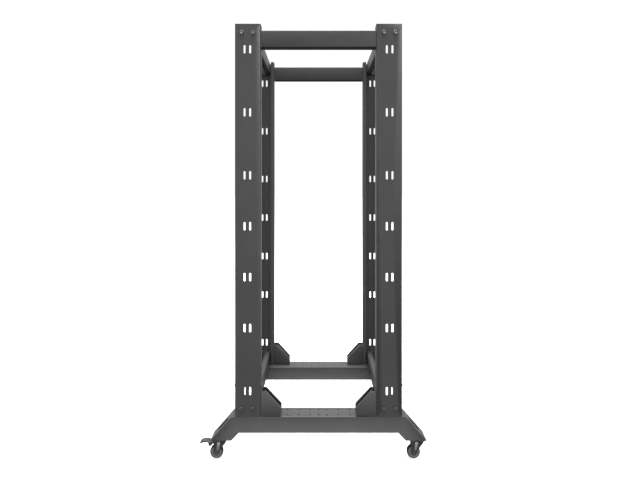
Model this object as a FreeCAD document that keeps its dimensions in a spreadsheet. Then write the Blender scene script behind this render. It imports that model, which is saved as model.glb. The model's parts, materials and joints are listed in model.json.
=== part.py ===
import FreeCAD, Part
import math
import os
import Sketcher

# An open-frame rack for 19-inch equipment: four C-shaped posts on two base beams with
# sloped feet, tied by cross bars and side bars, on four swivel casters.
# Millimetres. X runs from the front (-X) to the rear (+X), Y from the right side (-Y) to
# the left side (+Y), Z up. The origin is on the floor, midway between the four casters.

SIZES = {
    # the frame as a whole
    "frame_width": 530,
    "frame_depth": 616,
    "rack_units": 32,
    "unit_height": 44.45,
    "end_margin": 12,
    "opening_width": 450,
    "rack_hole_span": 465.1,
    "rack_hole_dia": 7.1,
    "unit_hole_offset": 6.35,
    "unit_hole_step": 15.875,
    # posts
    "post_web": 95,
    "post_lip": 15,
    "post_sheet": 2,
    "bend_radius": 1,
    "hole_line": 46,
    "slot_width": 7.4,
    "slot_length": 31,
    "slot_spacing": 20.6,
    "slot_end_gap": 94,
    "slot_outer_step": 232,
    # cross bars
    "lip_gap": 2.5,
    "cross_bar_height": 54,
    "cross_bar_sheet": 2.5,
    "cross_bar_flange": 21.5,
    "end_plate": 6,
    "cross_bolt_edge": 7.5,
    "cross_bolt_rise": 32,
    "skirt_depth": 13,
    "skirt_gap": 2,
    "seat_bolt_edge": 14.5,
    # side bars
    "side_bar_height": 60,
    "side_bar_drop": 24.5,
    "side_bar_sheet": 2.5,
    "side_bolt_spacing": 30,
    # base beams
    "base_length": 800,
    "beam_width": 70,
    "beam_height": 60,
    "beam_sheet": 2.5,
    "beam_overhang": 12,
    "foot_drop": 30,
    "foot_length": 78,
    "heel_run": 28.5,
    "ramp_slot_width": 36,
    "ramp_slot_low": 22,
    "ramp_slot_high": 70,
    "beam_hole_dia": 7,
    "beam_hole_rows": 42,
    "beam_hole_inner": 32,
    "beam_hole_middle": 74,
    "beam_hole_outer": 117,
    # gussets
    "gusset_length": 74.5,
    "gusset_height": 93,
    "gusset_depth": 40,
    "gusset_sheet": 3,
    "gusset_top": 19.5,
    "gusset_end": 33,
    "gusset_lip": 8,
    "gusset_bolt_edge": 20,
    "gusset_bolt_spacing": 30,
    # M8 fasteners of the frame
    "bolt_dia": 8,
    "bolt_clearance": 1,
    "bolt_length": 16,
    "bolt_flats": 13,
    "bolt_head": 5.3,
    "nut_height": 6.5,
    "washer_dia": 16,
    "washer_sheet": 1.6,
    # M5 fasteners of the caster plates
    "plate_bolt_dia": 5,
    "plate_bolt_length": 12,
    "plate_bolt_flats": 8,
    "plate_bolt_head": 3.5,
    "plate_nut_height": 4,
    "plate_bolt_clearance": 0.5,
    "plate_bolt_gap": 2.2,
    # casters
    "wheel_dia": 50,
    "wheel_headroom": 20.2,
    "caster_trail": 13,
    "plate_length": 54,
    "plate_width": 60,
    "plate_sheet": 3,
    "plate_bolt_x": 30,
    "plate_bolt_y": 46,
    "race_dia": 40,
    "race_wall": 2.5,
    "race_depth": 3.8,
    "ball_dia": 4,
    "ball_circle": 24,
    "ball_count": 12,
    "swivel_gap": 0.3,
    "running_gap": 0.05,
    "fork_sheet": 2.5,
    "crown_dia": 34,
    "fork_shoulder": 10.7,
    "fork_front_shoulder": 4.7,
    "fork_front_reach": 25,
    "fork_back_reach": 23,
    "axle_boss_dia": 16,
    "kingpin_dia": 8,
    "kingpin_head_dia": 13,
    "kingpin_head": 2.5,
    # wheels and axles
    "axle_dia": 6,
    "axle_flats": 10,
    "axle_head": 4,
    "axle_nut": 5,
    "axle_tail": 1.5,
    "hub_gap": 0.5,
    "hub_boss_dia": 14,
    "hub_web": 6,
    "rim_wall": 3,
    "rim_inset": 1,
    "tread_depth": 8,
    "tyre_width": 19,
    "tyre_shoulder": 3.5,
    "tyre_gap": 2,
    # brake pedals
    "pedal_pin_dia": 4,
    "pedal_pin_back": 10,
    "pedal_pin_drop": 9.2,
    "pedal_neck_drop": 6,
    "pedal_side_gap": 1,
    "pedal_width": 26,
    "pedal_root_gap": 5,
    "pedal_plate_length": 28,
    "pedal_bolt_gap": 2,
    "shoe_angle": 41,
    "shoe_gap": 5.5,
    "shoe_length": 12,
}

CORNERS = [
    ("front_right", -1, -1),
    ("rear_right", 1, -1),
    ("front_left", -1, 1),
    ("rear_left", 1, 1),
]
# how far each caster is swivelled about its kingpin, in degrees; the pedals are on the front pair
CASTER_YAW = {"front_right": 0, "rear_right": 0, "front_left": 92, "rear_left": 87}
BRAKED = ("front_right", "front_left")
PLANE_SIGN = {"XY": 1, "XZ": -1, "YZ": 1}


class Size:
    """A measure: its number, and the sheet expression that the document works it out from."""

    def __init__(self, number, expression):
        self.number = number
        self.expression = expression

    @staticmethod
    def of(value):
        return value if isinstance(value, Size) else Size(float(value), repr(float(value)))

    def combined(self, sign, other, number):
        return Size(number, f"({self.expression} {sign} {other.expression})")

    def __add__(self, other):
        other = Size.of(other)
        return self.combined("+", other, self.number + other.number)

    def __sub__(self, other):
        other = Size.of(other)
        return self.combined("-", other, self.number - other.number)

    def __mul__(self, other):
        other = Size.of(other)
        return self.combined("*", other, self.number * other.number)

    def __truediv__(self, other):
        other = Size.of(other)
        return self.combined("/", other, self.number / other.number)

    def __radd__(self, other):
        return Size.of(other) + self

    def __rsub__(self, other):
        return Size.of(other) - self

    def __rmul__(self, other):
        return Size.of(other) * self

    def __neg__(self):
        return self * -1

    def root(self):
        return Size(math.sqrt(self.number), f"sqrt({self.expression})")


# ---------------------------------------------------------------- document, sketches, features

doc = FreeCAD.newDocument("rack")


def fill_sheet():
    """Write every size into the sheet and hand them back as Size values."""
    sheet = doc.addObject("Spreadsheet::Sheet", "sizes")
    for row, (alias, number) in enumerate(SIZES.items(), start=1):
        sheet.set(f"A{row}", alias)
        sheet.set(f"B{row}", str(number))
        sheet.setAlias(f"B{row}", alias)
    doc.recompute()
    return {alias: Size(float(sheet.get(alias)), f"sizes.{alias}") for alias in SIZES}


def new_body(label):
    body = doc.addObject("PartDesign::Body", label)
    body.Label = label
    return body


def place(target, x=0, y=0, z=0, rotation=None):
    """Put an object at sheet-driven coordinates, with a fixed rotation."""
    if rotation is not None:
        target.Placement = FreeCAD.Placement(FreeCAD.Vector(), rotation)
    for axis, value in zip("xyz", (x, y, z)):
        target.setExpression(f"Placement.Base.{axis}", Size.of(value).expression)
    return target


def facing(x, y, z):
    """The rotation that turns local +Z to the direction x, y, z."""
    return FreeCAD.Rotation(FreeCAD.Vector(0, 0, 1), FreeCAD.Vector(x, y, z))


def about_z(degrees):
    return FreeCAD.Rotation(FreeCAD.Vector(0, 0, 1), degrees)


def new_sketch(body, plane, offset=0):
    """A sketch on one of the body's own planes, moved along that plane's axis by offset."""
    sketch = body.newObject("Sketcher::SketchObject", f"{body.Name}_sketch")
    role = f"{plane}_Plane"
    support = next(feature for feature in body.Origin.OriginFeatures if feature.Role == role)
    sketch.AttachmentSupport = [(support, "")]
    sketch.MapMode = "FlatFace"
    shift = Size.of(offset) * PLANE_SIGN[plane]
    sketch.setExpression("AttachmentOffset.Base.z", shift.expression)
    return sketch


def vector(x, y):
    return FreeCAD.Vector(Size.of(x).number, Size.of(y).number, 0)


def bind(sketch, constraint, value):
    index = sketch.addConstraint(constraint)
    sketch.setExpression(f"Constraints[{index}]", Size.of(value).expression)


def pin_point(sketch, geometry, vertex, x, y):
    """Hold one point of a sketch at x, y from the sketch's origin."""
    for kind, value in (("DistanceX", x), ("DistanceY", y)):
        number = Size.of(value).number
        bind(sketch, Sketcher.Constraint(kind, -1, 1, geometry, vertex, number), value)


def polygon(sketch, points):
    first = sketch.GeometryCount
    count = len(points)
    for here, there in zip(points, points[1:] + points[:1]):
        sketch.addGeometry(Part.LineSegment(vector(*here), vector(*there)), False)
    for index, point in enumerate(points):
        following = first + (index + 1) % count
        sketch.addConstraint(Sketcher.Constraint("Coincident", first + index, 2, following, 1))
        pin_point(sketch, first + index, 1, *point)
    return sketch


def rectangle(sketch, low, high):
    return polygon(sketch, [low, (high[0], low[1]), high, (low[0], high[1])])


def hexagon(sketch, flats):
    corner = flats / math.sqrt(3)
    turns = [math.radians(60 * index) for index in range(6)]
    return polygon(sketch, [(corner * math.cos(turn), corner * math.sin(turn)) for turn in turns])


def circle(sketch, x, y, diameter):
    radius = Size.of(diameter) / 2
    shape = Part.Circle(vector(x, y), FreeCAD.Vector(0, 0, 1), radius.number)
    geometry = sketch.addGeometry(shape, False)
    bind(sketch, Sketcher.Constraint("Radius", geometry, radius.number), radius)
    pin_point(sketch, geometry, 3, x, y)
    return sketch


def upright_slot(sketch, x, y, width, length):
    """A round-ended slot that stands along the sketch's vertical axis."""
    radius = width / 2
    reach = (length - width) / 2
    arcs = []
    for centre, start in ((y + reach, 0), (y - reach, math.pi)):
        ring = Part.Circle(vector(x, centre), FreeCAD.Vector(0, 0, 1), radius.number)
        arc = sketch.addGeometry(Part.ArcOfCircle(ring, start, start + math.pi), False)
        bind(sketch, Sketcher.Constraint("Radius", arc, radius.number), radius)
        pin_point(sketch, arc, 3, x, centre)
        arcs.append(arc)
    upper, lower = arcs
    for side, upper_end, lower_end in ((1, 1, 2), (-1, 2, 1)):
        edge = x + radius * side
        line = Part.LineSegment(vector(edge, y + reach), vector(edge, y - reach))
        line = sketch.addGeometry(line, False)
        sketch.addConstraint(Sketcher.Constraint("Tangent", upper, upper_end, line, 1))
        sketch.addConstraint(Sketcher.Constraint("Tangent", lower, lower_end, line, 2))
    return sketch


def plane_sign(sketch):
    return PLANE_SIGN[sketch.AttachmentSupport[0][0].Role[:2]]


def pad(body, sketch, length, towards=0):
    """Pad both ways by half the length, or the whole length towards + or - of the plane's axis."""
    feature = body.newObject("PartDesign::Pad", f"{body.Name}_pad")
    feature.Profile = sketch
    feature.setExpression("Length", Size.of(length).expression)
    feature.SideType = "One side" if towards else "Symmetric"
    feature.Reversed = towards * plane_sign(sketch) < 0
    return feature


def pocket(body, sketch, length=None, towards=0):
    """Cut as pad() adds; with no length, cut through everything."""
    feature = body.newObject("PartDesign::Pocket", f"{body.Name}_pocket")
    feature.Profile = sketch
    if length is None:
        feature.Type = "ThroughAll"
    else:
        feature.setExpression("Length", Size.of(length).expression)
    feature.SideType = "One side" if towards else "Symmetric"
    feature.Reversed = towards * plane_sign(sketch) > 0
    return feature


def revolve(body, sketch):
    feature = body.newObject("PartDesign::Revolution", f"{body.Name}_revolution")
    feature.Profile = sketch
    feature.ReferenceAxis = (sketch, ["V_Axis"])
    feature.Angle = 360
    return feature


def pattern(body, original, axis, spacing, count):
    feature = body.newObject("PartDesign::LinearPattern", f"{body.Name}_pattern")
    role = f"{axis}_Axis"
    line = next(entry for entry in body.Origin.OriginFeatures if entry.Role == role)
    feature.Originals = [original]
    feature.Direction = (line, [""])
    feature.Mode = "Spacing"
    feature.setExpression("Offset", spacing.expression)
    feature.setExpression("Occurrences", count.expression)
    body.Tip = feature
    return feature


def fillet(body, base, radius, wanted):
    """Round those edges of base that pass the test."""
    doc.recompute()
    edges = enumerate(base.Shape.Edges, start=1)
    names = [f"Edge{index}" for index, edge in edges if wanted(edge)]
    feature = body.newObject("PartDesign::Fillet", f"{body.Name}_fillet")
    feature.Base = (base, names)
    feature.setExpression("Radius", Size.of(radius).expression)
    return feature


def group(label, master, places):
    """Identical pieces in one node: a compound of links to one master body."""
    links = []
    for x, y, z, rotation in places:
        link = doc.addObject("App::Link", f"{label}_link")
        link.LinkedObject = master
        links.append(place(link, x, y, z, rotation))
    compound = doc.addObject("Part::Compound", label)
    compound.Label = label
    compound.Links = links
    return compound


# ---------------------------------------------------------------- sizes that others give

size = fill_sheet()
bolt_hole = size["bolt_dia"] + size["bolt_clearance"]
plate_bolt_hole = size["plate_bolt_dia"] + size["plate_bolt_clearance"]

# casters, from the floor up
wheel_radius = size["wheel_dia"] / 2
crown_under = size["wheel_dia"] + size["wheel_headroom"]
crown_top = crown_under + size["fork_sheet"]
plate_under = crown_top + size["swivel_gap"] + size["ball_dia"]
caster_height = plate_under + size["plate_sheet"]
fork_opening = size["tyre_width"] + 2 * size["tyre_gap"]
fork_width = fork_opening + 2 * size["fork_sheet"]
rim_dia = size["wheel_dia"] - 2 * size["tread_depth"]

# base beams
beam_rise = size["beam_height"] + size["foot_drop"]
beam_top = caster_height + beam_rise
beam_centre = (size["frame_width"] - size["beam_width"]) / 2
beam_top_end = size["frame_depth"] / 2 + size["beam_overhang"]
ramp_run = size["base_length"] / 2 - beam_top_end
ramp_length = (ramp_run * ramp_run + beam_rise * beam_rise).root()

# posts and what stands between them
post_flange = (size["frame_width"] - size["opening_width"]) / 2
post_length = size["rack_units"] * size["unit_height"] + 2 * size["end_margin"]
inner_post_face = size["frame_depth"] / 2 - size["post_web"]
bar_line = size["frame_depth"] / 2 - size["hole_line"]
cross_bar_width = 2 * (size["hole_line"] - size["post_lip"] - size["lip_gap"])
cross_bolt_spacing = cross_bar_width - 2 * size["cross_bolt_edge"]
seat_bolt_spacing = cross_bar_width - 2 * size["seat_bolt_edge"]


def ramp_inside(z):
    """How far from the middle the inner face of a foot's sloped plate is, z above the foot."""
    outside = beam_top_end + (beam_rise - z) * ramp_run / beam_rise
    return outside - size["beam_sheet"] * ramp_length / beam_rise


# each caster sits as far out as the ramp leaves room for the ends of its outer bolts
plate_bolt_reach = ramp_inside(size["plate_bolt_length"] - size["plate_sheet"])
outer_plate_bolt = plate_bolt_reach - size["plate_bolt_gap"] - size["plate_bolt_dia"] / 2
caster_x = outer_plate_bolt - size["plate_bolt_x"] / 2


# ---------------------------------------------------------------- frame pieces

def slot_heights():
    """Heights of the slot rows above the post's foot: outer rows from the ends, the rest shared out."""
    end = size["slot_end_gap"]
    step = size["slot_outer_step"]
    lowest = [end, end + step]
    highest = [post_length - end - step * index for index in (2, 1, 0)]
    bay = (highest[0] - lowest[1]) / 3
    return lowest + [lowest[1] + bay, lowest[1] + bay * 2] + highest


def side_bolt_heights():
    """Heights of the side bar's bolts above the post's foot."""
    middle = post_length - size["side_bar_drop"] - size["side_bar_height"] / 2
    return [middle + size["side_bolt_spacing"] / 2 * side for side in (-1, 1)]


def gusset_bolts(reach):
    """The gusset's two bolts along one of its plates, measured back from the plate's far edge."""
    last = reach - size["gusset_bolt_edge"]
    return [last - size["gusset_bolt_spacing"], last]


def cross_bolt_heights():
    return [size["cross_bolt_rise"], post_length - size["cross_bolt_rise"]]


def make_post(name, front, side):
    """A C-shaped post. Local x runs from its outer flange towards the rack's middle."""
    hand = front * side
    sheet = size["post_sheet"]
    web = size["post_web"]
    lip = size["post_lip"]
    body = new_body(f"{name}_post")
    place(body, size["frame_depth"] / 2 * front, size["frame_width"] / 2 * side, beam_top,
          about_z(0 if side < 0 else 180))

    outline = [
        (0, 0), (web, 0), (web, post_flange), (web - lip, post_flange),
        (web - lip, post_flange - sheet), (web - sheet, post_flange - sheet), (web - sheet, sheet),
        (sheet, sheet), (sheet, post_flange - sheet), (lip, post_flange - sheet),
        (lip, post_flange), (0, post_flange),
    ]
    section = polygon(new_sketch(body, "XY"), [(Size.of(x) * hand, y) for x, y in outline])
    blank = pad(body, section, post_length, towards=1)
    corners = [(x, y) for x in (0, web.number) for y in (0, post_flange.number)]
    hollows = [(abs(x - sheet.number), abs(y - sheet.number)) for x, y in corners]
    bends = ((corners, size["bend_radius"] + sheet), (hollows, size["bend_radius"]))
    for places, radius in bends:
        def is_bend(edge, places=places):
            box = edge.BoundBox
            x = box.Center.x * hand
            upright = box.XLength < 0.01 and box.YLength < 0.01
            return upright and any(math.hypot(x - u, box.Center.y - v) < 0.01 for u, v in places)
        blank = fillet(body, blank, radius, is_bend)

    rail = new_sketch(body, "YZ")
    rail_line = (size["frame_width"] - size["rack_hole_span"]) / 2
    for index in range(3):
        height = size["end_margin"] + size["unit_hole_offset"] + size["unit_hole_step"] * index
        circle(rail, rail_line, height, size["rack_hole_dia"])
    first_unit = pocket(body, rail, sheet, towards=hand)
    pattern(body, first_unit, "Z", size["unit_height"], size["rack_units"])

    web_face = new_sketch(body, "XZ")
    for height in slot_heights():
        for column in (-1, 1):
            station = size["hole_line"] + size["slot_spacing"] / 2 * column
            upright_slot(web_face, station * hand, height, size["slot_width"], size["slot_length"])
    for height in cross_bolt_heights():
        for column in (-1, 1):
            station = size["hole_line"] + cross_bolt_spacing / 2 * column
            circle(web_face, station * hand, height, bolt_hole)
    pocket(body, web_face, sheet, towards=1)

    inner_flange = new_sketch(body, "YZ", (web - sheet) * hand)
    for height in gusset_bolts(size["gusset_height"]):
        circle(inner_flange, size["gusset_depth"] / 2, height, bolt_hole)
    for height in side_bolt_heights():
        circle(inner_flange, post_flange / 2, height, bolt_hole)
    pocket(body, inner_flange, sheet, towards=hand)
    return body


def make_cross_bar(name, front, level):
    """A channel across the rack, web inwards, with wider tapped end plates; level is -1 or 1."""
    width = cross_bar_width
    height = size["cross_bar_height"]
    sheet = size["cross_bar_sheet"]
    length = size["frame_width"] - 2 * size["post_sheet"]
    body = new_body(name)
    base = beam_top if level < 0 else beam_top + post_length - height
    place(body, (bar_line + width / 2) * front, 0, base, about_z(0 if front < 0 else 180))

    pad(body, rectangle(new_sketch(body, "XZ"), (0, 0), (width, height)), length)
    inside = length / 2 - size["end_plate"]
    hollow = rectangle(new_sketch(body, "YZ"), (-inside, sheet), (inside, height - sheet))
    pocket(body, hollow, width - sheet, towards=1)

    half_gap = size["frame_width"] / 2 - size["beam_width"]
    trimmed = width - size["cross_bar_flange"]
    foot = sheet if level < 0 else 0
    trim = rectangle(new_sketch(body, "XY", foot), (0, -inside), (trimmed, inside))
    pocket(body, trim, height, towards=1)
    if level < 0:
        trim = rectangle(new_sketch(body, "XY"), (0, -half_gap), (trimmed, half_gap))
        pocket(body, trim, sheet, towards=1)

    bolts = new_sketch(body, "XZ")
    rise = size["cross_bolt_rise"] if level < 0 else height - size["cross_bolt_rise"]
    for column in (-1, 1):
        circle(bolts, width / 2 + cross_bolt_spacing / 2 * column, rise, size["bolt_dia"])
    pocket(body, bolts)

    if level < 0:
        half_skirt = half_gap - size["skirt_gap"]
        skirt = rectangle(new_sketch(body, "YZ", width), (-half_skirt, -size["skirt_depth"]),
                          (half_skirt, sheet))
        pad(body, skirt, sheet, towards=-1)
        seats = new_sketch(body, "XY")
        for side in (-1, 1):
            for column in (-1, 1):
                station = width / 2 + seat_bolt_spacing / 2 * column
                circle(seats, station, beam_centre * side, bolt_hole)
        pocket(body, seats, sheet, towards=1)
    return body


def make_side_bar(name, side):
    """The top channel between a front and a rear post, open underneath, flush with their webs."""
    height = size["side_bar_height"]
    sheet = size["side_bar_sheet"]
    length = inner_post_face * 2
    body = new_body(f"{name}_side_bar")
    base = beam_top + post_length - size["side_bar_drop"] - height
    place(body, 0, size["frame_width"] / 2 * side, base, about_z(0 if side < 0 else 180))

    pad(body, rectangle(new_sketch(body, "YZ"), (0, 0), (post_flange, height)), length)
    inside = length / 2 - size["end_plate"]
    hollow = rectangle(new_sketch(body, "XY"), (-inside, sheet), (inside, post_flange - sheet))
    pocket(body, hollow, height - sheet, towards=1)

    bolts = new_sketch(body, "YZ")
    for row in (-1, 1):
        rise = height / 2 + size["side_bolt_spacing"] / 2 * row
        circle(bolts, post_flange / 2, rise, size["bolt_dia"])
    pocket(body, bolts)
    return body


def make_base_beam(name, side):
    """A folded beam with a foot at each end: flat top, sloped ramps, caster plates underneath."""
    sheet = size["beam_sheet"]
    tip = size["base_length"] / 2
    foot = tip - size["foot_length"]
    heel = foot - size["heel_run"]
    body = new_body(f"{name}_base_beam")
    place(body, 0, beam_centre * side, caster_height)

    half = [(beam_top_end, beam_rise), (tip, 0), (foot, 0), (heel, size["foot_drop"])]
    outline = half + [(-x, z) for x, z in reversed(half)]
    pad(body, polygon(new_sketch(body, "XZ"), outline), size["beam_width"])

    roof = beam_rise - sheet
    below = -sheet
    half = [(ramp_inside(roof), roof), (ramp_inside(sheet), sheet), (foot, sheet), (foot, below)]
    outline = half + [(-x, z) for x, z in reversed(half)]
    pocket(body, polygon(new_sketch(body, "XZ"), outline), size["beam_width"] - 2 * sheet)

    slot_width = size["ramp_slot_width"]
    slot_length = size["ramp_slot_high"] - size["ramp_slot_low"]
    middle = (size["ramp_slot_high"] + size["ramp_slot_low"]) / 2
    ramp_slot = new_sketch(body, "YZ")
    rectangle(ramp_slot, (-slot_width / 2, middle - slot_length / 2),
              (slot_width / 2, middle + slot_length / 2))
    pocket(body, ramp_slot)

    holes = new_sketch(body, "XY", roof)
    stations = [size["beam_hole_inner"], size["beam_hole_middle"], size["beam_hole_outer"]]
    for row in (-1, 1):
        across = size["beam_hole_rows"] / 2 * row
        circle(holes, 0, across, size["beam_hole_dia"])
        for station in stations:
            for end in (-1, 1):
                circle(holes, station * end, across, size["beam_hole_dia"])
    gusset_line = (size["beam_width"] - size["gusset_depth"]) / 2 * side
    for end in (-1, 1):
        for station in gusset_bolts(size["gusset_length"]):
            circle(holes, (inner_post_face - station) * end, gusset_line, bolt_hole)
        for column in (-1, 1):
            station = bar_line + seat_bolt_spacing / 2 * column
            circle(holes, station * end, 0, bolt_hole)
    pocket(body, holes, sheet, towards=1)

    plates = new_sketch(body, "XY")
    for end in (-1, 1):
        for column in (-1, 1):
            for row in (-1, 1):
                x = caster_x * end + size["plate_bolt_x"] / 2 * column
                circle(plates, x, size["plate_bolt_y"] / 2 * row, plate_bolt_hole)
    pocket(body, plates, sheet, towards=1)
    return body


def make_gusset(name, front, side):
    """A corner bracket: back plate on the post, floor plate on the beam, cheeks with lips on the slope."""
    length = size["gusset_length"]
    height = size["gusset_height"]
    sheet = size["gusset_sheet"]
    body = new_body(f"{name}_gusset")
    place(body, inner_post_face * front, (size["frame_width"] - size["gusset_depth"]) / 2 * side,
          beam_top, about_z(0 if front < 0 else 180))

    outline = [(0, 0), (length, 0), (length, size["gusset_end"]), (size["gusset_top"], height),
               (0, height)]
    pad(body, polygon(new_sketch(body, "XZ"), outline), size["gusset_depth"])
    across = length - size["gusset_top"]
    down = height - size["gusset_end"]
    lean = sheet * (across * across + down * down).root() / down
    slope_foot = (length - lean, size["gusset_end"])
    slope_head = (size["gusset_top"] - lean, height)
    clear = 2 * height
    inside = polygon(new_sketch(body, "XZ"), [
        (sheet, sheet), (length * 2, sheet), (length * 2, size["gusset_end"]), slope_foot,
        slope_head, (slope_head[0], clear), (sheet, clear),
    ])
    pocket(body, inside, size["gusset_depth"] - 2 * sheet)
    mouth = rectangle(new_sketch(body, "XZ"), (sheet, sheet), (length * 2, clear))
    pocket(body, mouth, size["gusset_depth"] - 2 * size["gusset_lip"])

    wall = new_sketch(body, "YZ")
    for rise in gusset_bolts(size["gusset_height"]):
        circle(wall, 0, rise, bolt_hole)
    pocket(body, wall, sheet, towards=1)
    floor = new_sketch(body, "XY")
    for station in gusset_bolts(size["gusset_length"]):
        circle(floor, station, 0, bolt_hole)
    pocket(body, floor, sheet, towards=1)
    return body


# ---------------------------------------------------------------- fasteners

def make_bolt(name, diameter, length, flats, head):
    """A hex bolt: head above z = 0, shank below it."""
    body = new_body(name)
    pad(body, hexagon(new_sketch(body, "XY"), flats), head, towards=1)
    pad(body, circle(new_sketch(body, "XY"), 0, 0, diameter), length, towards=-1)
    return body


def make_nut(name, bore, flats, height):
    """A hex nut that hangs below z = 0."""
    body = new_body(name)
    profile = circle(hexagon(new_sketch(body, "XY"), flats), 0, 0, bore)
    pad(body, profile, height, towards=-1)
    return body


def make_washer(name):
    body = new_body(name)
    profile = circle(new_sketch(body, "XY"), 0, 0, size["washer_dia"])
    pad(body, circle(profile, 0, 0, size["bolt_dia"]), size["washer_sheet"], towards=1)
    return body


def cross_bolt_places(lift):
    """Where the cross bars bolt to the post webs, lifted off the web's outer face."""
    return [
        (bar_line * front + cross_bolt_spacing / 2 * column,
         (size["frame_width"] / 2 + lift) * side, beam_top + height, facing(0, side, 0))
        for _, front, side in CORNERS
        for height in cross_bolt_heights()
        for column in (-1, 1)
    ]


def side_bolt_places():
    """Where the side bars bolt to the posts' inner flanges, heads in the posts' hollow side."""
    face = inner_post_face + size["post_sheet"]
    return [
        (face * front, (size["frame_width"] - post_flange) / 2 * side, beam_top + height,
         facing(front, 0, 0))
        for _, front, side in CORNERS
        for height in side_bolt_heights()
    ]


def gusset_bolt_places(wall_inset, floor_inset):
    """Where the gussets bolt to the posts and to the beams."""
    places = []
    for _, front, side in CORNERS:
        y = (size["frame_width"] - size["gusset_depth"]) / 2 * side
        x = (inner_post_face + size["post_sheet"] - wall_inset) * front
        for height in gusset_bolts(size["gusset_height"]):
            places.append((x, y, beam_top + height, facing(front, 0, 0)))
        for station in gusset_bolts(size["gusset_length"]):
            x = (inner_post_face - station) * front
            z = beam_top + size["gusset_sheet"] - floor_inset
            places.append((x, y, z, facing(0, 0, 1)))
    return places


def seat_bolt_places(inset):
    """Where the bottom cross bars bolt down on the base beams."""
    return [
        (bar_line * front + seat_bolt_spacing / 2 * column, beam_centre * side,
         beam_top + size["cross_bar_sheet"] - inset, facing(0, 0, 1))
        for _, front, side in CORNERS
        for column in (-1, 1)
    ]


def plate_bolt_places(z):
    """Where the caster plates bolt to the feet, heads down."""
    return [
        (caster_x * front + size["plate_bolt_x"] / 2 * column,
         beam_centre * side + size["plate_bolt_y"] / 2 * row, z, facing(0, 0, -1))
        for _, front, side in CORNERS
        for column in (-1, 1)
        for row in (-1, 1)
    ]


def make_fasteners():
    bolt = make_bolt("frame_bolt", size["bolt_dia"], size["bolt_length"], size["bolt_flats"],
                     size["bolt_head"])
    nut = make_nut("frame_nut", size["bolt_dia"], size["bolt_flats"], size["nut_height"])
    washer = make_washer("frame_washer")
    small_bolt = make_bolt("small_bolt", size["plate_bolt_dia"], size["plate_bolt_length"],
                           size["plate_bolt_flats"], size["plate_bolt_head"])
    small_nut = make_nut("small_nut", size["plate_bolt_dia"], size["plate_bolt_flats"],
                         size["plate_nut_height"])
    wall_grip = size["post_sheet"] + size["gusset_sheet"]
    floor_grip = size["gusset_sheet"] + size["beam_sheet"]
    seat_grip = size["cross_bar_sheet"] + size["beam_sheet"]
    return [
        group("cross_bar_bolts", bolt, cross_bolt_places(size["washer_sheet"])),
        group("cross_bar_washers", washer, cross_bolt_places(0)),
        group("side_bar_bolts", bolt, side_bolt_places()),
        group("gusset_bolts", bolt, gusset_bolt_places(0, 0)),
        group("gusset_nuts", nut, gusset_bolt_places(wall_grip, floor_grip)),
        group("seat_bolts", bolt, seat_bolt_places(0)),
        group("seat_nuts", nut, seat_bolt_places(seat_grip)),
        group("caster_plate_bolts", small_bolt, plate_bolt_places(plate_under)),
        group("caster_plate_nuts", small_nut,
              plate_bolt_places(caster_height + size["beam_sheet"])),
    ]


# ---------------------------------------------------------------- casters

def at_caster(body, front, side, yaw=0, x=0, y=0, z=0, rotation=None):
    """Place a piece at x, y, z from a caster's swivel axis, turned with the caster by yaw."""
    turn = math.radians(yaw)
    along = Size.of(x) * math.cos(turn) - Size.of(y) * math.sin(turn)
    across = Size.of(x) * math.sin(turn) + Size.of(y) * math.cos(turn)
    spin = about_z(yaw)
    if rotation is not None:
        spin = spin.multiply(rotation)
    return place(body, caster_x * front + along, beam_centre * side + across, z, spin)


def pedal_pin_z():
    """Height of the pedal's pivot pin above the floor."""
    return crown_under - size["pedal_pin_drop"]


def make_caster_plate(name, front, side):
    """The bolted top plate, with the ring that shrouds the balls under it."""
    body = new_body(f"{name}_caster_plate")
    at_caster(body, front, side)
    half_x = size["plate_length"] / 2
    half_y = size["plate_width"] / 2
    outline = rectangle(new_sketch(body, "XY", plate_under), (-half_x, -half_y), (half_x, half_y))
    pad(body, outline, size["plate_sheet"], towards=1)
    ring = circle(new_sketch(body, "XY", plate_under), 0, 0, size["race_dia"])
    circle(ring, 0, 0, size["race_dia"] - 2 * size["race_wall"])
    pad(body, ring, size["race_depth"], towards=-1)
    holes = circle(new_sketch(body, "XY", plate_under), 0, 0, size["kingpin_dia"])
    for column in (-1, 1):
        for row in (-1, 1):
            x = size["plate_bolt_x"] / 2 * column
            circle(holes, x, size["plate_bolt_y"] / 2 * row, plate_bolt_hole)
    pocket(body, holes, size["plate_sheet"], towards=1)
    return body


def make_fork(name, front, side, yaw):
    """The swivelling fork: a flat crown on top of two tapered legs that trail to the axle."""
    head_front = size["fork_front_reach"]
    head_back = -size["fork_back_reach"]
    boss = size["axle_boss_dia"] / 2
    back = -size["caster_trail"]
    shoulder = crown_top - size["fork_shoulder"]
    front_shoulder = crown_top - size["fork_front_shoulder"]
    body = new_body(f"{name}_caster_fork")
    at_caster(body, front, side, yaw)
    legs = [(head_back, crown_top), (head_front, crown_top), (head_front, front_shoulder),
            (back + boss, wheel_radius), (back - boss, wheel_radius), (head_back, shoulder)]
    pad(body, polygon(new_sketch(body, "XZ"), legs), fork_width)
    pad(body, circle(new_sketch(body, "XZ"), back, wheel_radius, size["axle_boss_dia"]), fork_width)
    reach = size["wheel_dia"]
    gap = rectangle(new_sketch(body, "XZ"), (-reach, -reach), (reach, crown_under))
    pocket(body, gap, fork_opening)
    disc = circle(new_sketch(body, "XY", crown_under), 0, 0, size["crown_dia"])
    pad(body, disc, size["fork_sheet"], towards=1)
    bore = size["kingpin_dia"] + 2 * size["running_gap"]
    pocket(body, circle(new_sketch(body, "XY", crown_under), 0, 0, bore), size["fork_sheet"],
           towards=1)
    pivots = circle(new_sketch(body, "XZ"), back, wheel_radius, size["axle_dia"])
    if name in BRAKED:
        circle(pivots, -size["pedal_pin_back"], pedal_pin_z(), size["pedal_pin_dia"])
    pocket(body, pivots)
    return body


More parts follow.
